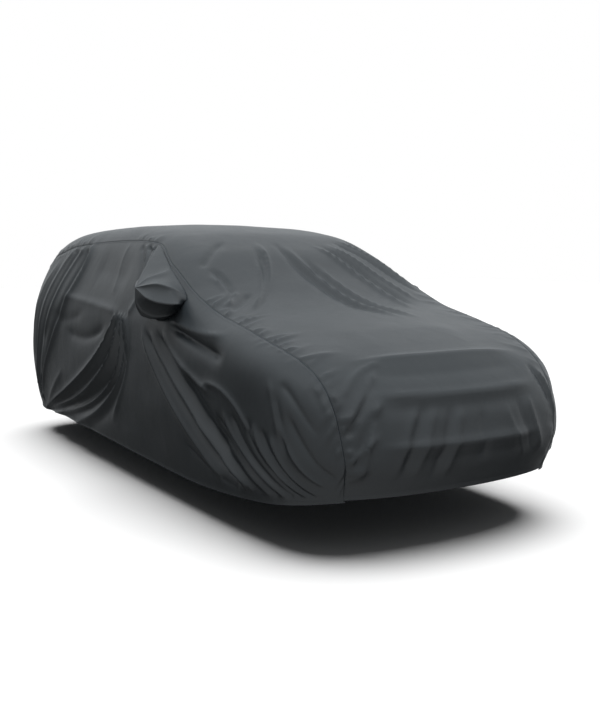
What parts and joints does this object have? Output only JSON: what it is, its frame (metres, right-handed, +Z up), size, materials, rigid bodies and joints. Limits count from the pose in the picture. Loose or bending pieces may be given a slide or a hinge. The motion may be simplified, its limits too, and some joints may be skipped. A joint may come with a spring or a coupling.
{
  "type": "car cover",
  "caption": "Fitted cloth cover for an estate-bodied car, draped to the car's shape, with two mirror pockets and a turned hem.",
  "frame": {"origin": "the point under the highest part of the roof where the cover lies on the car, on the centre line", "axes": "+X forward to the car's nose, +Y to the car's left, +Z up"},
  "size_m": [4.5057, 2.0169, 1.4405],
  "materials": {
    "top_cloth": "satin woven polyester, charcoal grey",
    "side_cloth": "satin woven polyester, charcoal grey",
    "pocket_cloth": "satin woven polyester, charcoal grey, pulled taut"
  },
  "bodies": {
    "root": {"top_panel": "top_cloth", "side_panel_right": "side_cloth", "side_panel_left": "side_cloth", "mirror_pocket_right": "pocket_cloth", "mirror_pocket_left": "pocket_cloth"}
  },
  "joints": []
}
